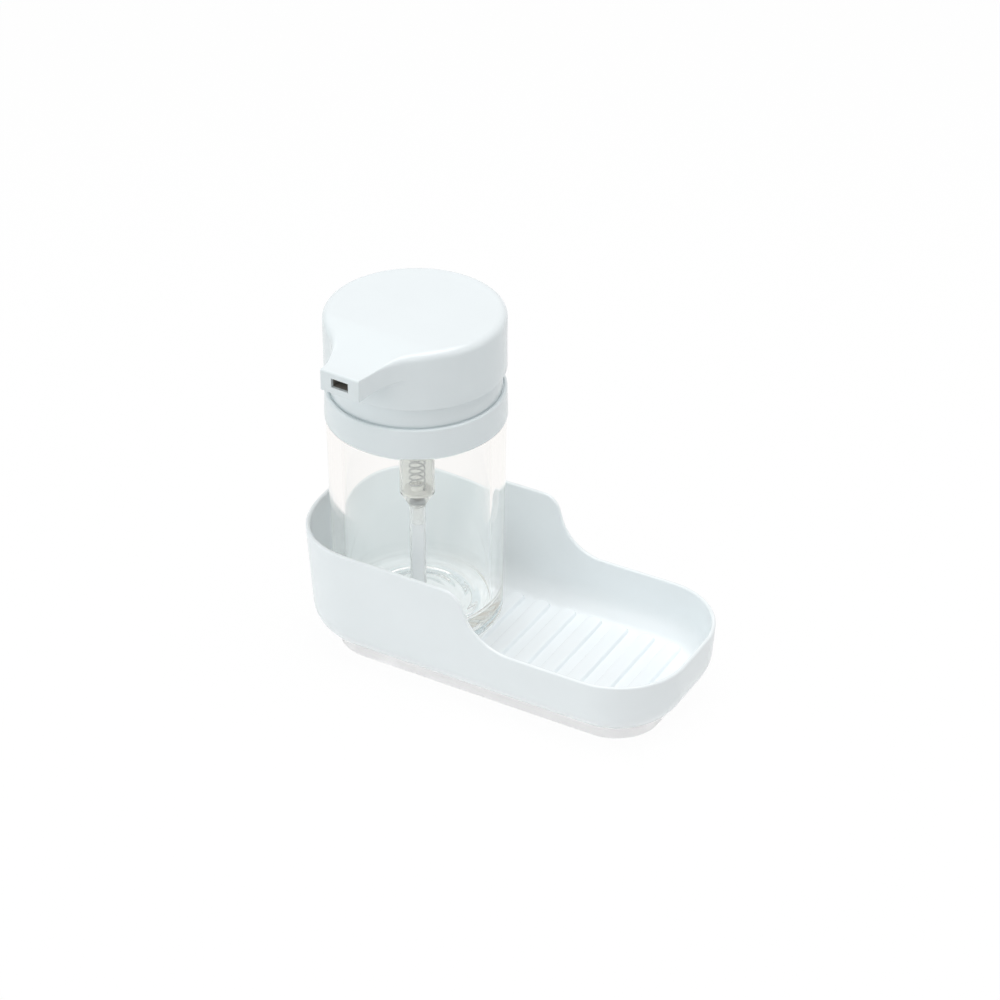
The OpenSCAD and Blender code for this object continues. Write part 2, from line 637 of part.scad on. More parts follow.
// The hollow stem: the outlet ball's chamber at its foot, and the ring that holds the cup down
module stem() {
    chamber_top_z = outlet_ball_z + outlet_ball_r + outlet_lift;
    top_z = outlet_z - outlet_h / 2;
    color(milky_plastic) rotate_extrude($fn = smooth) polygon([
        [outlet_chamber_r, cup_z], [stem_r, cup_z], [stem_r, stem_ring_z], [stem_ring_r, stem_ring_z],
        [stem_ring_r, stem_ring_top_z], [stem_r, stem_ring_top_z], [stem_r, top_z],
        [stem_bore_r, top_z], [stem_bore_r, chamber_top_z], [outlet_chamber_r, chamber_top_z]]);
}

// The piston cup: a hub on the stem, a web, and a lip each way against the bore
module piston_cup() {
    lip_r = cylinder_bore_r - running_gap;
    hub_r = stem_r + running_gap;
    color(seal_grey) rotate_extrude($fn = smooth) polygon([
        [hub_r, cup_z], [stem_ring_r, cup_z], [stem_ring_r, cup_z + cup_hub_h / 3],
        [lip_r - cup_lip, cup_z + cup_hub_h / 3], [lip_r - cup_lip, cup_z], [lip_r, cup_z],
        [lip_r, cup_z + cup_h], [lip_r - cup_lip, cup_z + cup_h],
        [lip_r - cup_lip, cup_z + cup_hub_h * 2 / 3], [stem_ring_r, cup_z + cup_hub_h * 2 / 3],
        [stem_ring_r, cup_z + cup_hub_h], [hub_r, cup_z + cup_hub_h]]);
}

// The plug in the stem's foot: it holds the cup up, carries the spring and seats the outlet ball
module outlet_seat() {
    spigot_r = outlet_chamber_r - running_gap;
    cone_low = outlet_cone_r - outlet_hole_r;
    color(white_plastic) rotate_extrude($fn = smooth) polygon([
        [outlet_hole_r, stem_foot_z], [stem_ring_r, stem_foot_z], [stem_ring_r, cup_z], [spigot_r, cup_z],
        [spigot_r, outlet_seat_top_z], [outlet_cone_r, outlet_seat_top_z],
        [outlet_hole_r, outlet_seat_top_z - cone_low]]);
}

module outlet_ball() {
    color(steel) translate([0, 0, outlet_ball_z]) sphere(r = outlet_ball_r, $fn = smooth);
}

// Outline of the head seen from above, as a radius at each angle from the spout's middle
tip_half = spout_w / 2;
blend_along = sqrt(pow(head_r + spout_blend_r, 2) - pow(tip_half + spout_blend_r, 2));
blend_across = tip_half + spout_blend_r;
tip_angle = atan(tip_half / spout_reach);
flank_angle = atan(tip_half / blend_along);
blend_angle = atan(blend_across / blend_along);
function flank_radius(a) = a < flank_angle ? tip_half / sin(a) :
    let (along = blend_along * cos(a) + blend_across * sin(a),
        rest = along * along - blend_along * blend_along - blend_across * blend_across
            + spout_blend_r * spout_blend_r)
    along - sqrt(max(0, rest));
function head_radius(a) = a < tip_angle ? spout_reach / cos(a) : a >= blend_angle ? head_r :
    max(head_r, min(spout_reach / cos(a), flank_radius(a)));

tip_steps = 3;
flank_steps = 12;
disc_steps = 44;
flank_angles = [for (i = [0 : flank_steps]) mix(tip_angle, blend_angle, pow(i / flank_steps, 1.5))];
head_angles = concat(
    [for (i = [-tip_steps + 1 : tip_steps - 1]) tip_angle * i / tip_steps],
    flank_angles,
    [for (i = [1 : disc_steps - 1]) mix(blend_angle, 360 - blend_angle, i / disc_steps)],
    [for (i = [flank_steps : -1 : 0]) 360 - flank_angles[i]]);

// The upper face: level over most of the disc and falling along the spout to its tip
drop_start = head_r * 0.58;
function top_z(x) = head_top_z - spout_drop
    * smoothstep((x - drop_start) / (spout_reach - 3 * spout_edge_r - drop_start));
top_steps = 12;
function head_column(a) = let (r = head_radius(a > 180 ? 360 - a : abs(a)),
        out = (r - head_r) / (spout_reach - head_r),
        edge = mix(head_edge_r, spout_edge_r, smoothstep(2 * out)),
        inner = r - edge,
        z_top = top_z(inner * cos(a)),
        z_low = head_top_z - spout_drop - spout_face_h,
        z_under = z_low + spout_under_rise * pow(max(0, 1 - out), 1.6))
    concat(
        [[head_r - head_bevel, head_z], [head_r, head_z + head_bevel], [head_r, z_low - head_bevel],
            [r, z_under]],
        [for (i = [0 : 4]) let (b = 22.5 * i) [inner + edge * cos(b), z_top - edge * (1 - sin(b))]],
        [for (i = [1 : top_steps]) let (q = mix(inner, head_r / 4, pow(i / top_steps, 1.5)))
            [q, top_z(q * cos(a))]]);
head_columns = [for (a = head_angles) head_column(a)];
head_rings = [for (j = [0 : len(head_columns[0]) - 1]) [for (i = [0 : len(head_angles) - 1])
    let (a = head_angles[i], p = head_columns[i][j]) [p.x * cos(a), p.x * sin(a), p.y]]];

// The head stands with its spout across the tray, and turned a little
module in_head_frame() {
    rotate([0, 0, head_turn - 90]) children();
}

ceiling_z = head_top_z - head_top_t;
core_plate_r = head_inner_r - core_inset;
duct_w = outlet_w + 2 * duct_wall;
duct_h = outlet_h + 2 * duct_wall;

module head_cap() {
    color(white_plastic) in_head_frame() difference() {
        skin(head_rings);
        rotate_extrude($fn = smooth) polygon([
            [0, head_z - cut], [head_inner_r, head_z - cut], [head_inner_r, ceiling_z - head_edge_r],
            [core_plate_r, ceiling_z], [0, ceiling_z]]);
        duct_space(head_r / 2, spout_reach - tip_wall, duct_w + 2 * running_gap, duct_h + 2 * running_gap);
        duct_space(head_r, spout_reach + cut, outlet_w, outlet_h);
    }
}

// A square sided space along the spout between two distances from the axis
module duct_space(from, to, w, h) {
    translate([from, -w / 2, outlet_z - h / 2]) cube([to - from, w, h]);
}

// The piece inside the head: a socket for the stem, a plate under the top, webs and the duct's mouth
socket_z = tower_top_z + travel + socket_gap;
core_low_z = ceiling_z - core_t;
boss_w = duct_w + 2 * core_t;
boss_h = duct_h + 2 * core_t;
boss_reach = 3 * socket_r;
web_h = core_low_z - outlet_z;
web_reach = core_plate_r - core_t;
module head_core() {
    color(white_plastic) in_head_frame() difference() {
        union() {
            translate([0, 0, socket_z])
                cylinder(h = core_low_z - socket_z + core_t / 2, r = socket_r, $fn = smooth);
            translate([0, 0, core_low_z]) cylinder(h = core_t, r = core_plate_r, $fn = smooth);
            duct_space(0, boss_reach, boss_w, boss_h);
            for (a = [60 : 60 : 300]) rotate([0, 0, a]) translate([0, -core_t / 2, outlet_z])
                cube([web_reach, core_t, web_h + core_t / 2]);
        }
        translate([0, 0, socket_z - cut]) cylinder(h = outlet_z + outlet_h / 2 - socket_z + cut,
            r = stem_r + running_gap, $fn = smooth);
        seal_groove(socket_seal_z);
        duct_space(0, boss_reach, outlet_w, outlet_h);
        duct_space(boss_reach / 2, boss_reach + cut, duct_w + 2 * running_gap, duct_h + 2 * running_gap);
    }
}

socket_seal_z = socket_z + 2 * seal_d;
module socket_seal() {
    ring_seal(socket_seal_z);
}

// The duct from the head's socket to the outlet
module spout_nozzle() {
    color(white_plastic) in_head_frame() difference() {
        duct_space(boss_reach / 2, spout_reach - tip_wall, duct_w, duct_h);
        duct_space(boss_reach / 2 - cut, spout_reach, outlet_w, outlet_h);
    }
}

tray_shell();
base_foot();
bottle();
collar_ring();
guide_drum();
mouth_gasket();
mouth_disc();
cylinder_gasket();
pump_cylinder();
cylinder_cap();
stem_wiper();
valve_cage();
inlet_ball();
dip_tube();
return_spring();
stem();
piston_cup();
outlet_seat();
outlet_ball();
head_cap();
head_core();
socket_seal();
spout_nozzle();
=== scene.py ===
import math

import bmesh
import bpy
from mathutils import Matrix, Vector


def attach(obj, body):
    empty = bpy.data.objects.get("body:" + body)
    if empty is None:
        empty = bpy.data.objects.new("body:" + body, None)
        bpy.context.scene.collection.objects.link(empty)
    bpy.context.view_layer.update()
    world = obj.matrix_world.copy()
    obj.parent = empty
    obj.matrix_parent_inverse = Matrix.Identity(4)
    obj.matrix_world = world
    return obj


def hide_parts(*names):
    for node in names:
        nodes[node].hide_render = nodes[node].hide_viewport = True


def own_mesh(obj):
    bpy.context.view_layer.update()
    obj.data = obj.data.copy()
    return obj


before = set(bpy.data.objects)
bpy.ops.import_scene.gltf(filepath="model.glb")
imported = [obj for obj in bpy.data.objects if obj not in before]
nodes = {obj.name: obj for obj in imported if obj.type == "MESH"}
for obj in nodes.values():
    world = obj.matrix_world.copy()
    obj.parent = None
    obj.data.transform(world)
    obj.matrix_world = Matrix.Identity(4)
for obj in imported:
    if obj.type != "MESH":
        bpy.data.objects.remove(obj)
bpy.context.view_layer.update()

# The tray: one moulding of cool white gloss plastic, deep round the bottle and shallow round the sponge.
# Its wall leans in a little towards the foot, turns under in a wide curve and ends in a flat floor,
# and its rim falls in one S curve on each long side. All sizes are in millimetres.
RIM_HIGH, RIM_LOW = 59.1, 34.4
BACK, FRONT, HALF_WIDTH = 45.3, 136.5, 43.9
END_START, END_FULLNESS, CORNER_R = 7.4, 2.4, 33.5
FALL_START, FALL_TOP_R, FALL_FOOT_R, FALL_SLOPE = 38.2, 9, 22, math.radians(72)
FLOOR, SEAT, FOOT_HEIGHT = 9.4, 11.0, 5.1
WALL, BEND_R, LEAN = 1.8, 15.7, 0.055
FLOOR_TURN_DROP, FLOOR_TURN_MIDDLE, FLOOR_TURN_REACH = 1.5, 1.52, 3.2
LAND_WIDTH, HOLLOW_IN, HOLLOW_TOP = 3.4, 1.15, 7.4


def mix(a, b, t):
    return a + (b - a) * t


def ease(t):
    t = min(1, max(0, t))
    return t * t * (3 - 2 * t)


def arc(cx, cy, r, start, end, steps):
    turn = [math.radians(mix(start, end, i / steps)) for i in range(steps + 1)]
    return [(cx + r * math.cos(a), cy + r * math.sin(a)) for a in turn]


def piece(name, points, faces, body, stands_for, finish, slot, hard=35):
    """A smooth mesh piece, hard only where two faces meet at more than a given angle."""
    mesh = bpy.data.meshes.new(name)
    mesh.from_pydata([Vector(p) * 0.001 for p in points], [], faces)
    work = bmesh.new()
    work.from_mesh(mesh)
    bmesh.ops.remove_doubles(work, verts=work.verts, dist=1e-6)
    bmesh.ops.recalc_face_normals(work, faces=work.faces)
    work.to_mesh(mesh)
    work.free()
    mesh.shade_smooth()
    mesh.set_sharp_from_angle(angle=math.radians(hard))
    mesh.materials.append(finish)
    made = bpy.data.objects.new(name, mesh)
    bpy.context.scene.collection.objects.link(made)
    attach(made, body)
    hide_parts(*stands_for)
    return made


def skin(rings, closed=False, low_cap=False, high_cap=False):
    """Faces through rings of equally many points. A closed skin joins its last ring to its first."""
    n, count = len(rings[0]), len(rings)
    faces = []
    for j in range(count if closed else count - 1):
        a, b = j * n, (j + 1) % count * n
        faces += [(a + i, a + (i + 1) % n, b + (i + 1) % n, b + i) for i in range(n)]
    if low_cap:
        faces.append(list(range(n))[::-1])
    if high_cap:
        faces.append([(count - 1) * n + i for i in range(n)])
    return [p for ring in rings for p in ring], faces


def join(*parts):
    points, faces = [], []
    for more_points, more_faces in parts:
        faces += [[i + len(points) for i in f] for f in more_faces]
        points += more_points
    return points, faces


def gloss_plastic(name, tone, roughness, grain, flow=0.012):
    """Injection moulded plastic: faint flow marks in its colour, a very fine grain and uneven polish."""
    made = bpy.data.materials.new(name)
    made.use_nodes = True
    tree = made.node_tree
    shader = tree.nodes["Principled BSDF"]
    shader.inputs["IOR"].default_value = 1.5
    where = tree.nodes.new("ShaderNodeTexCoord")
    marks = tree.nodes.new("ShaderNodeTexNoise")
    marks.inputs["Scale"].default_value = 28
    marks.inputs["Detail"].default_value = 3
    shade = tree.nodes.new("ShaderNodeValToRGB")
    dark, light = shade.color_ramp.elements
    dark.position, light.position = 0.3, 0.7
    dark.color = [c * (1 - flow) for c in tone] + [1]
    light.color = [min(1, c * (1 + flow)) for c in tone] + [1]
    polish = tree.nodes.new("ShaderNodeMapRange")
    polish.inputs["To Min"].default_value = roughness * 0.85
    polish.inputs["To Max"].default_value = roughness * 1.15
    fine = tree.nodes.new("ShaderNodeTexNoise")
    fine.inputs["Scale"].default_value = 1400
    fine.inputs["Detail"].default_value = 2
    bump = tree.nodes.new("ShaderNodeBump")
    bump.inputs["Strength"].default_value = grain
    bump.inputs["Distance"].default_value = 0.0002
    link = tree.links.new
    link(where.outputs["Object"], marks.inputs["Vector"])
    link(where.outputs["Object"], fine.inputs["Vector"])
    link(marks.outputs["Fac"], shade.inputs["Fac"])
    link(marks.outputs["Fac"], polish.inputs["Value"])
    link(fine.outputs["Fac"], bump.inputs["Height"])
    link(shade.outputs["Color"], shader.inputs["Base Color"])
    link(polish.outputs["Result"], shader.inputs["Roughness"])
    link(bump.outputs["Normal"], shader.inputs["Normal"])
    return made


tray_white = gloss_plastic("tray_white_plastic", (0.916, 0.962, 0.98), 0.24, 0.05)

# One long side of the rim, from the deep end to the shallow one: place along the tray, height and slope.
side = [(mix(-END_START, FALL_START, i / 12), RIM_HIGH, 0) for i in range(12)]
for i in range(15):
    tilt = FALL_SLOPE * i / 14
    side.append((FALL_START + FALL_TOP_R * math.sin(tilt), RIM_HIGH - FALL_TOP_R * (1 - math.cos(tilt)), tilt))
foot_lift = FALL_FOOT_R * (1 - math.cos(FALL_SLOPE))
foot_x = side[-1][0] + (side[-1][1] - RIM_LOW - foot_lift) / math.tan(FALL_SLOPE)
fall_end = foot_x + FALL_FOOT_R * math.sin(FALL_SLOPE)
for i in range(22, -1, -1):
    tilt = FALL_SLOPE * i / 22
    side.append((fall_end - FALL_FOOT_R * math.sin(tilt), RIM_LOW + FALL_FOOT_R * (1 - math.cos(tilt)), tilt))
side += [(mix(fall_end, FRONT - CORNER_R, i / 10), RIM_LOW, 0) for i in range(1, 11)]

# Each column of the outline is its middle, its two reaches and its direction, as seen from above,
# and then the rim's height and slope there.
columns = [(x, 0, 0, HALF_WIDTH, 0, -1, z, tilt) for x, z, tilt in side]
for way, first_angle, steps in ((-1, -90, range(1, 33)), (1, 0, range(32))):
    for i in steps:
        a = math.radians(mix(first_angle, first_angle + 90, i / 32))
        columns.append((FRONT - CORNER_R, way * (HALF_WIDTH - CORNER_R), CORNER_R, CORNER_R,
                        math.cos(a), math.sin(a), RIM_LOW, 0))
columns += [(x, 0, 0, HALF_WIDTH, 0, 1, z, tilt) for x, z, tilt in reversed(side)]
for i in range(1, 108):
    a = math.radians(90 + 180 * i / 108)
    round_x = -abs(math.cos(a)) ** (2 / END_FULLNESS)
    round_y = math.copysign(abs(math.sin(a)) ** (2 / END_FULLNESS), math.sin(a))
    columns.append((-END_START, 0, BACK - END_START, HALF_WIDTH, round_x, round_y, RIM_HIGH, 0))


def lean(z):
    return (RIM_HIGH - z) * LEAN


def outline_point(column, inset):
    cx, cy, reach_x, reach_y, dx, dy = column[:6]
    return cx + (reach_x - inset) * dx, cy + (reach_y - inset) * dy


def level(inset, z):
    return [(*outline_point(c, inset), z) for c in columns]


def along_rim(inset, depth):
    """A ring that follows the rim, at a depth under it measured square to its slope."""
    ring = []
    for c in columns:
        z, tilt = c[6], c[7]
        x, y = outline_point(c, lean(z) + inset)
        ring.append((x - depth * math.sin(tilt), y, z - depth * math.cos(tilt)))
    return ring


# The shell's rings: up the outside, over the rounded rim, down the inside and in a soft turn to the floor.
outside, rim, inside = [], [], []
for i in range(17):
    a = math.radians(90 * i / 16)
    z = FOOT_HEIGHT + BEND_R * (1 - math.cos(a))
    outside.append(level(lean(z) + BEND_R * (1 - math.sin(a)), z))
for i in range(13):
    a = math.radians(15 * i)
    rim.append(along_rim(WALL / 2 * (1 - math.cos(a)), WALL / 2 * (1 - math.sin(a))))
inner_r = BEND_R - WALL
floor_angle = math.degrees(math.acos((FOOT_HEIGHT + BEND_R - FLOOR - FLOOR_TURN_DROP) / inner_r))
for i in range(15):
    a = math.radians(mix(90, floor_angle, i / 14))
    z = FOOT_HEIGHT + BEND_R - inner_r * math.cos(a)
    inset = lean(z) + BEND_R - inner_r * math.sin(a)
    inside.append(level(inset, z))
for i in range(1, 9):
    t = i / 8
    inside.append(level(inset + 2 * t * (1 - t) * FLOOR_TURN_MIDDLE + t * t * FLOOR_TURN_REACH,
                        z - FLOOR_TURN_DROP * (1 - (1 - t) ** 2)))
land_end = BEND_R + lean(FOOT_HEIGHT) + LAND_WIDTH
underside = [level(land_end + HOLLOW_IN, HOLLOW_TOP), level(land_end, FOOT_HEIGHT)]
shell = skin([*underside, *outside, *rim, *inside], low_cap=True, high_cap=True)

# The drain bars and the low ring under the bottle are raised on the tray's floor, in the same moulding.
# Seven bars with round ends keep the sponge above its water, and the last one is a little shorter.
BAR_HALF_WIDTH, BAR_RISE, FIRST_BAR, BAR_PITCH = 3.7, 1.5, 32.3, 12.94
LONG_BAR_HALF, LAST_BAR_HALF = 33, 32.3
SEAT_IN, SEAT_OUT, SEAT_EDGE = 24.6, 27.4, 0.45
SINK = 0.02  # how far they start under the floor, so that no gap shows


def bar(x, half):
    straight = half - BAR_HALF_WIDTH
    soft_side = [(mix(-0.5, 0.6, i / 12), BAR_RISE * ease(i / 12)) for i in range(13)]
    rings = []
    for inset, rise in soft_side + [(2.0, BAR_RISE), (2.8, BAR_RISE)]:
        w = BAR_HALF_WIDTH - inset
        end = [(x + w * math.cos(a), straight + w * math.sin(a))
               for a in (math.radians(180 * i / 20) for i in range(21))]
        rings.append([(px, py, FLOOR - SINK + rise) for px, py in end]
                     + [(2 * x - px, -py, FLOOR - SINK + rise) for px, py in end])
    return skin(rings, high_cap=True)


def turned(profile, steps=144, closed=False):
    """Faces through a profile of (radius, height) turned round the upright axis."""
    rings = [[(r * math.cos(a), r * math.sin(a), z) for a in (math.tau * i / steps for i in range(steps))]
             for r, z in profile]
    return skin(rings, closed=closed)


bars = [bar(FIRST_BAR + BAR_PITCH * k, LONG_BAR_HALF if k < 6 else LAST_BAR_HALF) for k in range(7)]
seat = turned([(23.7, FLOOR - SINK), (24.0, FLOOR + 0.1),
               *arc(SEAT_IN, SEAT - SEAT_EDGE, SEAT_EDGE, 180, 90, 5),
               *arc(SEAT_OUT, SEAT - SEAT_EDGE, SEAT_EDGE, 90, 0, 5),
               (27.9, FLOOR + 0.1), (28.2, FLOOR - SINK)])
piece("tray_moulding", *join(shell, *bars, seat), "tray", ["tray_shell"], tray_white, "white_plastic", hard=40)

# The foot: a separate non-slip ring of soft white rubber, pressed against the flat land under the tray.
# It stands in from the tray's curve, so a line of shadow runs round its top. Some light sinks into it.
FOOT_INSET, FOOT_WIDTH, LOW_EDGE_R, TOP_EDGE_R = 12.8, 8.8, 0.5, 0.4
foot_white = gloss_plastic("foot_soft_rubber", (0.985, 0.985, 0.995), 0.55, 0.08)
foot_white.node_tree.nodes["Principled BSDF"].inputs["Transmission Weight"].default_value = 0.79
foot_in, foot_out, foot_top = FOOT_INSET + FOOT_WIDTH, FOOT_INSET, FOOT_HEIGHT - TOP_EDGE_R
foot_rings = [(foot_out + LOW_EDGE_R - r, z) for r, z in arc(0, LOW_EDGE_R, LOW_EDGE_R, -90, 0, 4)]
foot_rings += [(foot_out + TOP_EDGE_R - r, z) for r, z in arc(0, foot_top, TOP_EDGE_R, 0, 90, 4)]
foot_rings += [(foot_in - TOP_EDGE_R + r, z) for r, z in arc(0, foot_top, TOP_EDGE_R, 90, 0, 4)]
foot_rings += [(foot_in - LOW_EDGE_R + r, z) for r, z in arc(0, LOW_EDGE_R, LOW_EDGE_R, 0, -90, 4)]
piece("foot_ring", *skin([level(i, z) for i, z in foot_rings], closed=True), "tray", ["base_foot"],
      foot_white, "foot_rubber", hard=50)

# The bottle: clear moulded plastic with a wall seven millimetres thick, faintly cream where it is deepest.
# Its solid bottom has rings moulded in it, and its neck has four short threads for the collar.
BASE_R, HEEL_R, SHOULDER_R, SHOULDER, MOUTH = 37.0, 5.0, 38.3, 110.9, 120.4
CAVITY_R, CAVITY_FLOOR, CAVITY_EDGE_R, NECK_R, BOTTLE_EDGE_R = 31.2, 20.4, 4, 34.4, 0.4
RIPPLE_START, RIPPLE_PITCH, RIPPLE_RISE = 11.2, 4, 0.4
THREAD_LEAD, THREAD_DEPTH, THREAD_ANGLE, THREAD_MIDDLE = 12, 1.5, 56, 116.6
ROOT_HALF, CREST_HALF = 0.9, 0.5


def clear_plastic(name, tint, polish, clear, bend):
    """Clear or milky moulded plastic, a little wavy and unevenly polished."""
    made = bpy.data.materials.new(name)
    made.use_nodes = True
    tree = made.node_tree
    shader = tree.nodes["Principled BSDF"]
    shader.inputs["Transmission Weight"].default_value = clear
    shader.inputs["IOR"].default_value = bend
    where = tree.nodes.new("ShaderNodeTexCoord")
    waves = tree.nodes.new("ShaderNodeTexNoise")
    waves.inputs["Scale"].default_value = 30
    waves.inputs["Detail"].default_value = 1
    clean = tree.nodes.new("ShaderNodeMapRange")
    clean.inputs["To Min"].default_value = polish * 0.7
    clean.inputs["To Max"].default_value = polish * 1.3
    shade = tree.nodes.new("ShaderNodeValToRGB")
    shade.color_ramp.elements[0].color = [c * 0.995 for c in tint] + [1]
    shade.color_ramp.elements[1].color = [*tint, 1]
    bump = tree.nodes.new("ShaderNodeBump")
    bump.inputs["Strength"].default_value = 0.12
    bump.inputs["Distance"].default_value = 0.0004
    link = tree.links.new
    link(where.outputs["Object"], waves.inputs["Vector"])
    link(waves.outputs["Fac"], clean.inputs["Value"])
    link(waves.outputs["Fac"], shade.inputs["Fac"])
    link(waves.outputs["Fac"], bump.inputs["Height"])
    link(clean.outputs["Result"], shader.inputs["Roughness"])
    link(shade.outputs["Color"], shader.inputs["Base Color"])
    link(bump.outputs["Normal"], shader.inputs["Normal"])
    return made


def show_blend(tree, output, amount, first, second):
    """Shows a blend of two shaders: the first where the amount is 0 and the second where it is 1."""
    blend = tree.nodes.new("ShaderNodeMixShader")
    tree.links.new(amount, blend.inputs["Fac"])
    tree.links.new(first.outputs[0], blend.inputs[1])
    tree.links.new(second.outputs[0], blend.inputs[2])
    tree.links.new(blend.outputs[0], output.inputs["Surface"])


def lug(root, out, angle, z, turn, steps=20):
    """One short thread: a bar round the neck, tilted by the thread's lead."""
    half, tilt = math.radians(angle / 2), math.atan(THREAD_LEAD / (2 * math.pi * NECK_R))
    section = [(root, -ROOT_HALF), (root + out, -CREST_HALF), (root + out, CREST_HALF), (root, ROOT_HALF)]
    rings = []
    for i in range(steps + 1):
        a = mix(-half, half, i / steps)
        ring = []
        for r, h in section:
            p = Matrix.Rotation(tilt, 3, "X") @ Vector((r * math.cos(a), r * math.sin(a), h))
            p = Matrix.Rotation(math.radians(turn), 3, "Z") @ p
            ring.append((p.x, p.y, p.z + z))
        rings.append(ring)
    return skin(rings, low_cap=True, high_cap=True)


# The thick wall swallows a little light along its depth. Light that turns in it more often than
# a render follows would come out dark, so it is replaced by a painted glow: the bottle emits an even
# pale light wherever a ray reaching it has bounced more than five times.
bottle_clear = clear_plastic("bottle_clear_plastic", (1, 0.999, 0.997), 0.02, clear=1, bend=1.4)
tree = bottle_clear.node_tree
depth = tree.nodes.new("ShaderNodeVolumeAbsorption")
depth.inputs["Color"].default_value = (0.95, 0.915, 0.875, 1)
depth.inputs["Density"].default_value = 26
tree.links.new(depth.outputs["Volume"], tree.nodes["Material Output"].inputs["Volume"])
path = tree.nodes.new("ShaderNodeLightPath")
many_turns = tree.nodes.new("ShaderNodeMath")
many_turns.operation = "GREATER_THAN"
many_turns.inputs[1].default_value = 5.5
tree.links.new(path.outputs["Ray Depth"], many_turns.inputs[0])
# painted glow: an even pale emitted light on the bottle, standing in for light lost in many turns
glow = tree.nodes.new("ShaderNodeEmission")
glow.inputs["Color"].default_value = (0.64, 0.69, 0.70, 1)
show_blend(tree, tree.nodes["Material Output"], many_turns.outputs[0], tree.nodes["Principled BSDF"], glow)

ripples = [(RIPPLE_START + RIPPLE_PITCH * i / 12,
            CAVITY_FLOOR + RIPPLE_RISE * (1 - math.cos(math.radians(30 * i))) / 2) for i in range(49)]
underneath = [(0.0, SEAT + 1.2), (21.5, SEAT + 1.2), *arc(22.9, SEAT + 0.9, 0.3, 90, 0, 3),
              (23.6, SEAT + 0.3), *arc(24.4, SEAT + 0.4, 0.4, 180, 270, 3)]
bottle_side = [*arc(BASE_R - HEEL_R, SEAT + HEEL_R, HEEL_R, -90, -1, 12), (BASE_R, SEAT + 6), (37.6, 62),
               (SHOULDER_R - 0.01, SHOULDER - 0.9),
               *arc(SHOULDER_R - BOTTLE_EDGE_R, SHOULDER - BOTTLE_EDGE_R, BOTTLE_EDGE_R, 0, 90, 4)]
neck = [(NECK_R + 0.5, SHOULDER), (NECK_R, SHOULDER), (NECK_R, SHOULDER + 0.5), (NECK_R, MOUTH - 0.9),
        *arc(NECK_R - BOTTLE_EDGE_R, MOUTH - BOTTLE_EDGE_R, BOTTLE_EDGE_R, 0, 90, 4)]
cavity = [(CAVITY_R, MOUTH), (CAVITY_R, 60), (CAVITY_R, CAVITY_FLOOR + 4.6),
          *arc(CAVITY_R - CAVITY_EDGE_R, CAVITY_FLOOR + CAVITY_EDGE_R, CAVITY_EDGE_R, 0, -90, 12),
          *ripples[-2::-1], (0.0, CAVITY_FLOOR)]
threads = [lug(NECK_R - 0.2, THREAD_DEPTH, THREAD_ANGLE, THREAD_MIDDLE, 90 * k) for k in range(4)]
bottle = piece("clear_bottle", *join(turned(underneath + bottle_side + neck + cavity, 192), *threads),
               "bottle", ["bottle"], bottle_clear, "clear_plastic", hard=50)
bottle.visible_shadow = False

# The collar: a white moulded ring that screws on the neck. Its side is very slightly conical,
# its upper edge is rounded, and its lower edge stops just short of the bottle's shoulder.
DECK, DECK_LOW, DECK_HOLE_R, COLLAR_LOW, COLLAR_BORE = 124.5, 123.0, 21.0, 111.1, 36.0
LUG_DEPTH, LUG_ANGLE, LUG_MIDDLE, LUG_SHIFT = 1.3, 26, 114.64, 12
cap_white = gloss_plastic("pump_white_plastic", (0.814, 0.87, 0.888), 0.24, 0.05)
collar_side = [(COLLAR_BORE, COLLAR_LOW), *arc(38.4, COLLAR_LOW + 0.3, 0.3, -90, 0, 4),
               (38.69, COLLAR_LOW + 0.8), (38.42, DECK - 1.4), *arc(37.6, DECK - 0.8, 0.8, 0, 90, 8)]
groove = [(37.25, DECK), (37.15, DECK - 0.1), (37.15, DECK - 0.8), (36.4, DECK - 0.8), (36.2, DECK)]
deck = [(DECK_HOLE_R, DECK), (DECK_HOLE_R, DECK_LOW), (COLLAR_BORE, DECK_LOW)]
collar_threads = [lug(COLLAR_BORE, -LUG_DEPTH, LUG_ANGLE, LUG_MIDDLE, 90 * k - LUG_SHIFT, steps=10)
                  for k in range(4)]
piece("screw_collar", *join(turned(collar_side + groove + deck, closed=True), *collar_threads), "collar",
      ["collar_ring"], cap_white, "white_plastic")

# The guide drum: a plain white moulded drum whose sleeve stands in the hole of the collar's deck, so that
# the collar can turn under it. The head's skirt slides over it, and a band of it shows between the two.
SLEEVE_IN, SLEEVE_OUT, DRUM_R, DRUM_IN, DRUM_EDGE_R = 19.55, 20.95, 36.4, 35.0, 0.4
drum_profile = [(SLEEVE_IN, DECK_LOW), (SLEEVE_OUT, DECK_LOW), (SLEEVE_OUT, DECK), (36.1, DECK),
                (DRUM_R, DECK + 0.3), *arc(36.0, DECK + 11.55, DRUM_EDGE_R, 0, 90, 4),
                (DRUM_IN, DECK + 11.95), (DRUM_IN, DECK + 1.5), (SLEEVE_IN, DECK + 1.5)]
piece("guide_band", *turned(drum_profile, closed=True), "pump", ["guide_drum"], cap_white, "white_plastic")

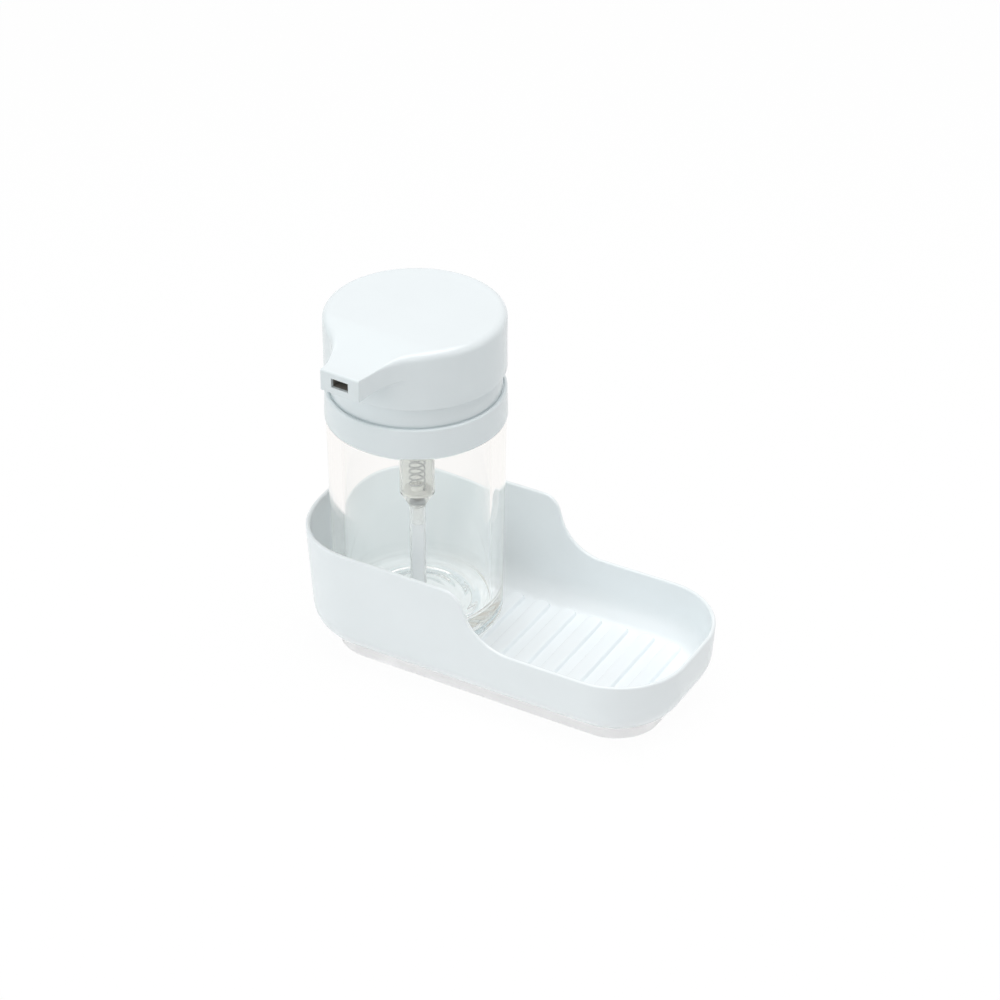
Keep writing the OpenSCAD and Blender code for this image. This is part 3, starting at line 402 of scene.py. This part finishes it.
# The head: a round white cap whose top runs out into a short square-ended spout.
# The sides of the spout are hollow curves tangent to the disc, its upper edge sharpens towards the tip,
# and a small cove softens its root.
HEAD_R, HEAD_LOW, HEAD_TOP, TURN = 38.3, 133.4, 160.2, math.radians(-93.9)
REACH, TIP_HALF, HOLLOW_R = 53.0, 9.45, 25.5
DROP, DROP_START, DROP_LENGTH = 6.2, 22.2, 28.1
FACE_HEIGHT, UNDER_RISE, DISC_EDGE_R, TIP_EDGE_R, COVE = 9.8, 4.0, 3.5, 0.9, 0.6
TIP_LOW, TIP_HIGH = HEAD_TOP - DROP - FACE_HEIGHT, HEAD_TOP - DROP - TIP_EDGE_R
OUTLET_LOW, OUTLET_HIGH, OUTLET_DEPTH = 147.0, 151.2, 1.45
LIP_R, SKIRT_IN, SKIRT_TOP, ROOF_R, ROOF = 37.3, 36.7, 154.1, 24.7, 157.6
SIDE_ROW, TOP_PATCH_R = 139.0, 9.0
hollow_x = math.sqrt((HEAD_R + HOLLOW_R) ** 2 - (TIP_HALF + HOLLOW_R) ** 2)
hollow_y = TIP_HALF + HOLLOW_R
tip_angle, blend_angle = math.atan(TIP_HALF / REACH), math.atan(hollow_y / hollow_x)


def head_radius(a):
    if a <= tip_angle + 1e-9:
        return REACH / math.cos(a)
    if a >= blend_angle:
        return HEAD_R
    ahead = hollow_x * math.cos(a) + hollow_y * math.sin(a)
    flank = ahead - math.sqrt(max(0, ahead ** 2 - hollow_x ** 2 - hollow_y ** 2 + HOLLOW_R ** 2))
    return max(HEAD_R, min(REACH / math.cos(a), flank))


def head_height(x):
    return HEAD_TOP - DROP * ease((x - DROP_START) / DROP_LENGTH)


tip_marks = [-8.4, -4.2, -2.1, 0.0, 2.1, 4.2, 8.4]
tip_turns = [math.atan(y / REACH) for y in tip_marks]
flank_turns = [mix(tip_angle, blend_angle, (i / 40) ** 1.4) for i in range(41)]
disc_turns = [mix(blend_angle, math.tau - blend_angle, i / 150) for i in range(1, 150)]
head_turns = tip_turns + flank_turns + disc_turns + [math.tau - a for a in reversed(flank_turns)]
share_low, share_high = ((z - TIP_LOW) / (TIP_HIGH - TIP_LOW) for z in (OUTLET_LOW, OUTLET_HIGH))


def head_column(a):
    """The head's outside at one turn about its axis, from its lower lip to the middle of its top."""
    away = abs(a) if a < math.pi else math.tau - a
    r = head_radius(away)
    out = (r - HEAD_R) / (REACH - HEAD_R)
    edge = mix(DISC_EDGE_R, TIP_EDGE_R, ease(2 * out))
    top = head_height((r - edge) * math.cos(a))
    low = TIP_LOW + UNDER_RISE * max(0, 1 - out) ** 1.6
    soft, grown = mix(0.3, 0.5, ease(out)), min(1, 3 * out)
    column = [(LIP_R, HEAD_LOW), (LIP_R, HEAD_LOW + 0.6), *arc(HEAD_R - 0.2, HEAD_LOW + 0.8, 0.2, -90, 0, 3),
              (HEAD_R, SIDE_ROW), (HEAD_R, TIP_LOW - COVE)]
    for b in (math.radians(15 * i) for i in range(1, 6)):
        column.append((mix(HEAD_R, r - soft * grown, 1 - math.cos(b)), mix(TIP_LOW - COVE, low, math.sin(b))))
    column += [(r - soft * grown, low), (r - soft * 0.3 * grown, low + soft * 0.3), (r, low + soft)]
    face = top - edge
    column += [(r, mix(low, face, s)) for s in (share_low, share_high)]
    column += arc(r - edge, face, edge, 0, 90, 10)
    inwards = [mix(r - edge, TOP_PATCH_R, (i / 26) ** 1.4) for i in range(1, 27)]
    return column + [(q, head_height(q * math.cos(a))) for q in inwards]


head_columns = [head_column(a) for a in head_turns]
head_rings = [[(c[j][0] * math.cos(a + TURN), c[j][0] * math.sin(a + TURN), c[j][1])
               for a, c in zip(head_turns, head_columns)] for j in range(len(head_columns[0]))]
head_points, head_faces = skin(head_rings, high_cap=True)

# The outlet is cut in the spout's end between the two rows of points that carry its lower and upper edge.
per_ring, low_row = len(head_turns), 16
hole = [f for f in head_faces if len(f) == 4
        and all(j // per_ring in (low_row, low_row + 1) and 1 <= j % per_ring <= 5 for j in f)]
head_faces = [f for f in head_faces if f not in hole]
rim_of_hole = [low_row * per_ring + i for i in range(1, 6)]
rim_of_hole += [(low_row + 1) * per_ring + i for i in range(5, 0, -1)]
inward = Vector((math.cos(TURN), math.sin(TURN), 0)) * OUTLET_DEPTH
start, around = len(head_points), len(rim_of_hole)
head_points += [tuple(Vector(head_points[i]) - inward) for i in rim_of_hole]
head_faces += [(rim_of_hole[i], rim_of_hole[(i + 1) % around], start + (i + 1) % around, start + i)
               for i in range(around)]
skirt_inside = turned([(LIP_R, HEAD_LOW), (SKIRT_IN, HEAD_LOW), (SKIRT_IN, SKIRT_TOP), (ROOF_R, ROOF),
                       (0.0, ROOF)], 192)
piece("head_with_spout", *join((head_points, head_faces), skirt_inside), "head", ["head_cap"], cap_white,
      "white_plastic", hard=38)

# The duct inside the spout is a white moulding of its own with a square channel. Only its mouth shows
# in the spout's end, so the whole duct is coloured a dark brownish grey: painted shade for the dark deep
# inside the channel, with a little real staining.
duct_painted_shade = gloss_plastic("duct_painted_shade_plastic", (0.27, 0.245, 0.22), 0.5, 0.1)
nodes["spout_nozzle"].data.materials.clear()
nodes["spout_nozzle"].data.materials.append(duct_painted_shade)

# The pump seen through the bottle: a milky moulded cylinder, hung by its flange in the bottle's mouth,
# whose foot tapers to a nipple with a clear dip tube pushed on it.
BORE_FLOOR, CONE, BORE_R, CYLINDER_R = 73.5, 66.474, 6.3, 7.5
FLANGE_R, FLANGE_LOW, FLANGE_TOP = 10.4, 123.6, 125.0
CHAMBER_R, CHAMBER_LOW, NIPPLE_IN, NIPPLE_OUT, NIPPLE_LENGTH = 3.6, 68.37, 1.7, 2.65, 9
TUBE_IN, TUBE_OUT, TUBE_LOW = 2.7, 3.5, 22.9
milky = clear_plastic("cylinder_milky_plastic", (1.0, 0.99, 0.962), 0.05, clear=0.85, bend=1.22)
nipple = [(NIPPLE_IN, CONE - NIPPLE_LENGTH), (NIPPLE_OUT, CONE - NIPPLE_LENGTH), (NIPPLE_OUT, CONE)]
barrel = [(TUBE_OUT, CONE), (7.2, BORE_FLOOR - 0.5), *arc(7.0, BORE_FLOOR + 0.2, 0.5, -30, 0, 3),
          (CYLINDER_R, BORE_FLOOR + 0.8), (CYLINDER_R, FLANGE_LOW), (FLANGE_R, FLANGE_LOW),
          (FLANGE_R, FLANGE_TOP)]
bore = [(BORE_R, FLANGE_TOP), (BORE_R, BORE_FLOOR), (CHAMBER_R, BORE_FLOOR), (CHAMBER_R, CHAMBER_LOW),
        (NIPPLE_IN, CONE)]
cylinder = piece("milky_cylinder", *turned(nipple + barrel + bore, 96, closed=True), "pump", ["pump_cylinder"],
                 milky, "milky_plastic")
tube_clear = clear_plastic("dip_tube_plastic", (0.985, 0.992, 1.0), 0.06, clear=0.78, bend=1.3)
tube_profile = [(TUBE_IN, TUBE_LOW), (TUBE_OUT, TUBE_LOW), (TUBE_OUT, CONE), (TUBE_IN, CONE)]
tube = piece("dip_tube_clear", *turned(tube_profile, 64, closed=True), "pump", ["dip_tube"], tube_clear,
             "milky_plastic")
cylinder.visible_shadow = tube.visible_shadow = False

# The spring: one bright drawn wire wound in seven curls inside the cylinder, and squeezed by each press.
# Its two ends are turned upright on their seats.
SPRING_LOW, SPRING_HIGH, SPRING_R, WIRE_R, CURLS = 74.7, 97.65, 3.3, 0.4, 7


def metal(name, tone, roughness, brush):
    """Bright metal with fine drawing marks."""
    made = gloss_plastic(name, tone, roughness, brush, flow=0.04)
    made.node_tree.nodes["Principled BSDF"].inputs["Metallic"].default_value = 1
    return made


def spring_wire(steps=28):
    path = [Vector((SPRING_R, 0, SPRING_LOW)), Vector((SPRING_R, 0, SPRING_LOW + 0.7))]
    for i in range(1, CURLS * steps):
        a = math.tau * i / steps
        z = mix(SPRING_LOW + 0.8, SPRING_HIGH - 0.8, i / (CURLS * steps))
        path.append(Vector((SPRING_R * math.cos(a), SPRING_R * math.sin(a), z)))
    path += [Vector((SPRING_R, 0, SPRING_HIGH - 0.7)), Vector((SPRING_R, 0, SPRING_HIGH))]
    rings = []
    for i, p in enumerate(path):
        ahead = (path[min(i + 1, len(path) - 1)] - path[max(i - 1, 0)]).normalized()
        if i < 2 or i > len(path) - 3:
            ahead = Vector((0, 0, 1))
        out = Vector((p.x, p.y, 0)).normalized()
        up = ahead.cross(out)
        rings.append([tuple(p + WIRE_R * (math.cos(b) * out + math.sin(b) * up))
                      for b in (math.tau * k / 12 for k in range(12))])
    return skin(rings, low_cap=True, high_cap=True)


spring_steel = metal("spring_bright_wire", (0.52, 0.53, 0.54), 0.25, 0.1)
spring = piece("wire_spring", *spring_wire(), "pump", ["return_spring"], spring_steel, "spring_steel")
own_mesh(spring)

# The pieces held inside the pump keep the shapes that they were made in: white mouldings, a milky stem
# and cage, grey rubber seals and steel balls. Only the cage and a ball can be made out through the cylinder.
cage_milky = clear_plastic("cage_milky_plastic", (1.0, 0.99, 0.965), 0.1, clear=0.15, bend=1.2)
ball_steel = metal("ball_dark_steel", (0.30, 0.33, 0.36), 0.15, 0.05)
seal_grey = gloss_plastic("seal_grey_rubber", (0.50, 0.51, 0.52), 0.6, 0.3)
for finish, names in (
    (cap_white, ("mouth_disc", "cylinder_cap", "outlet_seat", "head_core")),
    (cage_milky, ("valve_cage",)),
    (milky, ("stem",)),
    (seal_grey, ("mouth_gasket", "cylinder_gasket", "stem_wiper", "piston_cup", "socket_seal")),
    (ball_steel, ("inlet_ball", "outlet_ball")),
):
    for name in names:
        nodes[name].data.materials.clear()
        nodes[name].data.materials.append(finish)

# The studio: a floor of white paper under an even white sky, with a wide soft lamp overhead, one at the
# front left, a weak one beyond the sponge end and a small low one at the left. From here on, all places
# and sizes are in metres.
PAPER_HALF = 4


def seen_rays(tree):
    """1 for rays that come straight from the camera, off a gloss or through clear plastic, and 0 for others."""
    rays = tree.nodes.new("ShaderNodeLightPath")
    found = rays.outputs["Is Camera Ray"]
    for kind in ("Is Glossy Ray", "Is Transmission Ray"):
        either = tree.nodes.new("ShaderNodeMath")
        either.operation = "MAXIMUM"
        tree.links.new(found, either.inputs[0])
        tree.links.new(rays.outputs[kind], either.inputs[1])
        found = either.outputs[0]
    return found


floor_mesh = bpy.data.meshes.new("studio_floor")
corners = [(x * PAPER_HALF, y * PAPER_HALF, 0) for x, y in ((-1, -1), (1, -1), (1, 1), (-1, 1))]
floor_mesh.from_pydata(corners, [], [(0, 1, 2, 3)])
floor = bpy.data.objects.new("studio_floor", floor_mesh)
bpy.context.scene.collection.objects.link(floor)
paper = bpy.data.materials.new("studio_white_paper")
paper.use_nodes = True
tree = paper.node_tree
tree.nodes.clear()
diffuse = tree.nodes.new("ShaderNodeBsdfDiffuse")
diffuse.inputs["Color"].default_value = (0.86, 0.86, 0.86, 1)
glow = tree.nodes.new("ShaderNodeEmission")
glow.inputs["Strength"].default_value = 1.01
amount = tree.nodes.new("ShaderNodeMapRange")
amount.inputs["To Min"].default_value = 0.02
amount.inputs["To Max"].default_value = 0.95
tree.links.new(seen_rays(tree), amount.inputs["Value"])
show_blend(tree, tree.nodes.new("ShaderNodeOutputMaterial"), amount.outputs["Result"], diffuse, glow)
floor_mesh.materials.append(paper)

scene = bpy.context.scene
scene.world = bpy.data.worlds.new("studio_sky")
scene.world.use_nodes = True
tree = scene.world.node_tree
sky = tree.nodes["Background"]
sky.inputs["Strength"].default_value = 0.35
sky.inputs["Color"].default_value = (0.99, 1.0, 1.0, 1)
white = tree.nodes.new("ShaderNodeBackground")
white.inputs["Strength"].default_value = 1
show_blend(tree, tree.nodes["World Output"], seen_rays(tree), sky, white)


def softbox(name, place, aim, size, watts, tone):
    lamp = bpy.data.lights.new(name, "AREA")
    lamp.shape, lamp.size, lamp.energy, lamp.color = "DISK", size, watts, tone
    made = bpy.data.objects.new(name, lamp)
    made.location = place
    made.rotation_euler = (Vector(aim) - Vector(place)).to_track_quat("-Z", "Y").to_euler()
    scene.collection.objects.link(made)


softbox("lamp_overhead", (0.1, 0.05, 1.3), (0.04, 0, 0.05), 1.1, 10.2, (1, 0.975, 0.975))
softbox("lamp_front", (-0.242, -1.327, 0.918), (0.04, 0, 0.07), 1.2, 4.2, (0.98, 1, 1))
softbox("lamp_right", (1.42, 0.15, 0.6), (0.04, 0, 0.05), 1.0, 1.9, (0.93, 1, 1))
softbox("lamp_low", (-0.95, -0.85, 0.3), (0, 0, 0.03), 0.6, 2.4, (0.9, 1, 1))

# The camera stands where the photo was taken from, looking down on the spout's side
# and a little from the sponge end. Its angles and place were solved from the object's own edges.
AZIMUTH, ELEVATION, ROLL = (math.radians(a) for a in (29.454, 32.584, 0.267))
AIM, DISTANCE, FOCAL_LENGTH = Vector((0.040672, 0, 0.079696)), 1.201865, 102.79
back = Vector((math.sin(AZIMUTH) * math.cos(ELEVATION), -math.cos(AZIMUTH) * math.cos(ELEVATION),
               math.sin(ELEVATION)))
level_right = Vector((math.cos(AZIMUTH), math.sin(AZIMUTH), 0))
level_up = back.cross(level_right)
right = level_right * math.cos(ROLL) + level_up * math.sin(ROLL)
up = level_up * math.cos(ROLL) - level_right * math.sin(ROLL)
lens = bpy.data.cameras.new("photo_camera")
lens.lens, lens.sensor_width, lens.clip_start, lens.clip_end = FOCAL_LENGTH, 36, 0.05, 20
camera = bpy.data.objects.new("photo_camera", lens)
turn = Matrix((right, up, back)).transposed().to_4x4()
camera.matrix_world = Matrix.Translation(AIM + back * DISTANCE) @ turn
scene.collection.objects.link(camera)
scene.camera = camera
scene.view_settings.view_transform = "Standard"
